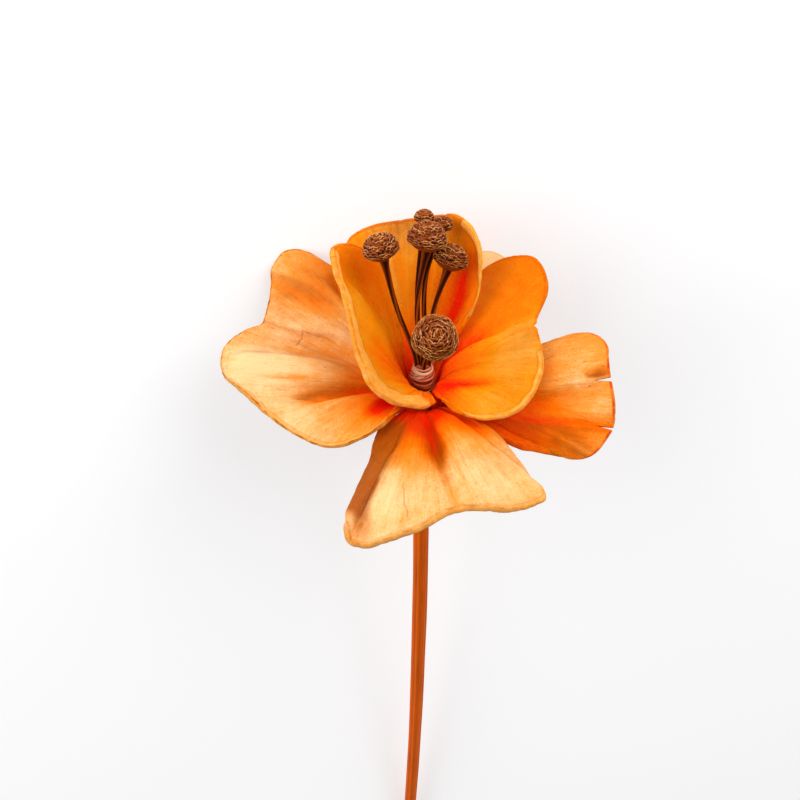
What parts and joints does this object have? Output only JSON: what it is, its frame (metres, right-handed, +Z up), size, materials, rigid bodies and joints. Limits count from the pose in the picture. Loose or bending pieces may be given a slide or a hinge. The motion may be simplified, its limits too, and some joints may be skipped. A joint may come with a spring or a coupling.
{
  "type": "dried pomegranate flower",
  "caption": "Dried pomegranate flower: dyed husk petals round scaly bud heads on thin stalks, bound on a cut stem that lies down.",
  "frame": {"origin": "middle of the flower's box on the surface it lies on", "axes": "+Z up, +Y along the stem from its cut end to the bloom, +X to the right seen from above with the bloom at the top"},
  "size_m": [0.077, 0.2358, 0.0651],
  "materials": {
    "husk_apricot": "matte",
    "husk_orange": "matte",
    "bud": "satin",
    "fibre": "matte",
    "dyed_stem": "matte"
  },
  "bodies": {
    "root": {"petal_outer_left": "husk_apricot", "petal_outer_front": "husk_apricot", "petal_outer_right": "husk_orange", "petal_outer_back": "husk_apricot", "petal_inner_left": "husk_apricot", "petal_inner_back": "husk_orange", "petal_inner_right": "husk_orange", "stamen_left": "bud", "stamen_middle": "bud", "stamen_right": "bud", "stamen_front": "bud", "stamen_back_left": "bud", "stamen_back_right": "bud", "binding": "fibre", "stem": "dyed_stem"}
  },
  "joints": []
}
